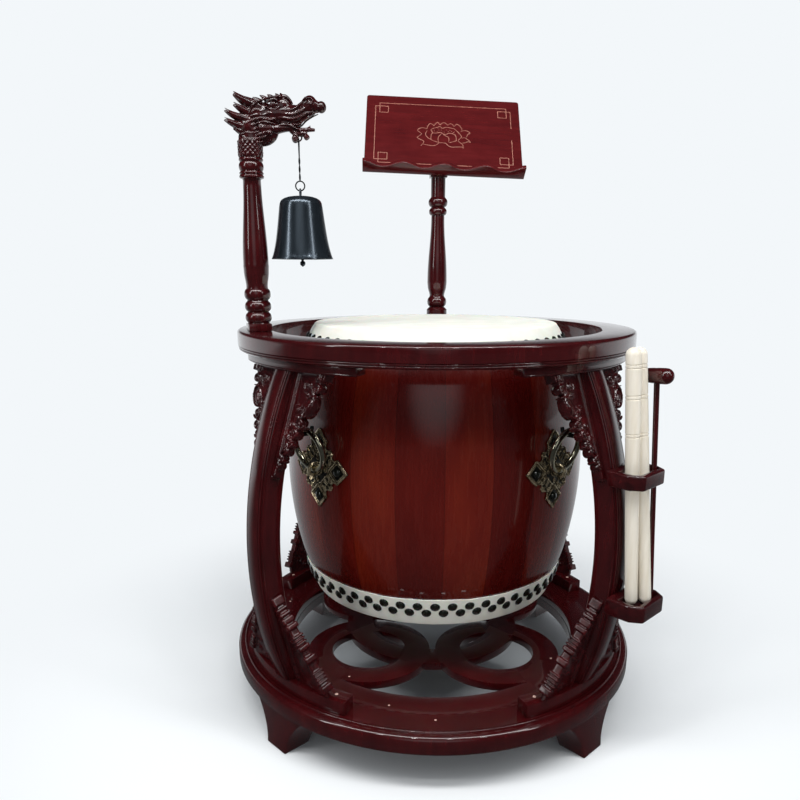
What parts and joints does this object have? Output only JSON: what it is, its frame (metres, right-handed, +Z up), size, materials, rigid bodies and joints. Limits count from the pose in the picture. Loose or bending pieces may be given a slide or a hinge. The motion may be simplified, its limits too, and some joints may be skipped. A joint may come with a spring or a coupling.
{
  "type": "temple drum",
  "caption": "Barrel drum hung by ring handles in a round lacquered stand on feet, with a bell on a dragon-head post, a sloping lectern and a stick holder.",
  "frame": {"origin": "on the floor, at the middle of the bounding box seen from above; the drum axis stands at x 0, y -0.0326", "axes": "+Z up; +Y from the front, where the player stands, to the lectern at the rear; +X to the stick holder side"},
  "size_m": [0.846, 0.9112, 1.294],
  "materials": {
    "lacquer": "dark red hardwood under high-gloss lacquer",
    "shell_lacquer": "wooden staves under clear red high-gloss lacquer",
    "hide": "scraped cream rawhide",
    "bronze": "antique bronze, dark in its hollows",
    "brass": "worn bright where it is held",
    "bell_metal": "satin dark blue-grey",
    "steel": "plain wire and rod",
    "pale_wood": "turned pale wood, waxed"
  },
  "bodies": {
    "stand": {"base_ring": "lacquer", "base_tracery": "lacquer", "upper_ring": "lacquer", "stick_holder_loop": "lacquer", "stick_holder_cup": "lacquer", "foot_front_right": "lacquer", "foot_rear_right": "lacquer", "foot_rear_left": "lacquer", "foot_front_left": "lacquer", "shoe_front_right": "lacquer", "shoe_rear_right": "lacquer", "shoe_rear_left": "lacquer", "shoe_front_left": "lacquer", "post_front_right": "lacquer", "post_rear_right": "lacquer", "post_rear_left": "lacquer", "post_front_left": "lacquer", "hook_front_right": "steel", "hook_rear_right": "steel", "hook_rear_left": "steel", "hook_front_left": "steel", "upper_bracket_front_right_a": "lacquer", "upper_bracket_front_right_b": "lacquer", "upper_bracket_rear_right_a": "lacquer", "upper_bracket_rear_right_b": "lacquer", "upper_bracket_rear_left_a": "lacquer", "upper_bracket_rear_left_b": "lacquer", "upper_bracket_front_left_a": "lacquer", "upper_bracket_front_left_b": "lacquer", "lower_bracket_front_right_a": "lacquer", "lower_bracket_front_right_b": "lacquer", "lower_bracket_rear_right_a": "lacquer", "lower_bracket_rear_right_b": "lacquer", "lower_bracket_rear_left_a": "lacquer", "lower_bracket_rear_left_b": "lacquer", "lower_bracket_front_left_a": "lacquer", "lower_bracket_front_left_b": "lacquer"},
    "drum": {"drum_shell": "shell_lacquer", "top_head": "hide", "bottom_head": "hide", "plate_front_right": "bronze", "plate_rear_right": "bronze", "plate_rear_left": "bronze", "plate_front_left": "bronze"},
    "ring_front_right": {"ring_handle_front_right": "brass"},
    "ring_rear_right": {"ring_handle_rear_right": "brass"},
    "ring_rear_left": {"ring_handle_rear_left": "brass"},
    "ring_front_left": {"ring_handle_front_left": "brass"},
    "bell_post": {"bell_post": "lacquer", "dragon_head": "lacquer"},
    "bell_wire": {"bell_wire": "steel"},
    "bell": {"bell": "bell_metal"},
    "clapper": {"clapper": "bell_metal"},
    "lectern": {"lectern_post": "lacquer", "lectern_board": "lacquer", "lectern_ledge": "lacquer"},
    "drumstick_1": {"drumstick_1": "pale_wood"},
    "drumstick_2": {"drumstick_2": "pale_wood"},
    "mallet": {"mallet_handle": "lacquer", "mallet_head": "lacquer"}
  },
  "joints": [
    {"name": "drum_lift", "type": "slide", "parent": "stand", "child": "drum", "axis": [0, 0, 1], "range_m": [0, 0.045]},
    {"name": "ring_swing_front_right", "type": "hinge", "parent": "drum", "child": "ring_front_right", "pos_m": [0.22184, -0.25445, 0.5292], "axis": [-0.7071, -0.7071, 0], "range_deg": [0, 6]},
    {"name": "ring_swing_rear_right", "type": "hinge", "parent": "drum", "child": "ring_rear_right", "pos_m": [0.22184, 0.18922, 0.5292], "axis": [0.7071, -0.7071, 0], "range_deg": [0, 6]},
    {"name": "ring_swing_rear_left", "type": "hinge", "parent": "drum", "child": "ring_rear_left", "pos_m": [-0.22184, 0.18922, 0.5292], "axis": [0.7071, 0.7071, 0], "range_deg": [0, 6]},
    {"name": "ring_swing_front_left", "type": "hinge", "parent": "drum", "child": "ring_front_left", "pos_m": [-0.22184, -0.25445, 0.5292], "axis": [-0.7071, 0.7071, 0], "range_deg": [0, 6]},
    {"name": "bell_post_turn", "type": "hinge", "parent": "stand", "child": "bell_post", "pos_m": [-0.32928, -0.15704, 0.767], "axis": [0, 0, 1], "range_deg": [-90, 90]},
    {"name": "wire_swing", "type": "hinge", "parent": "bell_post", "child": "bell_wire", "pos_m": [-0.24398, -0.15704, 1.094], "axis": [1, 0, 0], "range_deg": [-15, 15]},
    {"name": "bell_swing", "type": "hinge", "parent": "bell_wire", "child": "bell", "pos_m": [-0.24398, -0.15704, 1.0125], "axis": [1, 0, 0], "range_deg": [-20, 20]},
    {"name": "clapper_swing", "type": "hinge", "parent": "bell", "child": "clapper", "pos_m": [-0.24398, -0.15704, 0.9949], "axis": [0, 1, 0], "range_deg": [-25, 25]},
    {"name": "lectern_turn", "type": "hinge", "parent": "stand", "child": "lectern", "pos_m": [0.01376, 0.32562, 0.767], "axis": [0, 0, 1], "range_deg": [-60, 60]},
    {"name": "drumstick_1_lift", "type": "slide", "parent": "stand", "child": "drumstick_1", "axis": [-0.0555, 0.053, 0.9971], "range_m": [0, 0.25]},
    {"name": "drumstick_2_lift", "type": "slide", "parent": "stand", "child": "drumstick_2", "axis": [-0.0775, 0.0923, 0.9927], "range_m": [0, 0.25]},
    {"name": "mallet_lift", "type": "slide", "parent": "stand", "child": "mallet", "axis": [-0.0382, 0.0629, 0.9973], "range_m": [0, 0.25]}
  ]
}
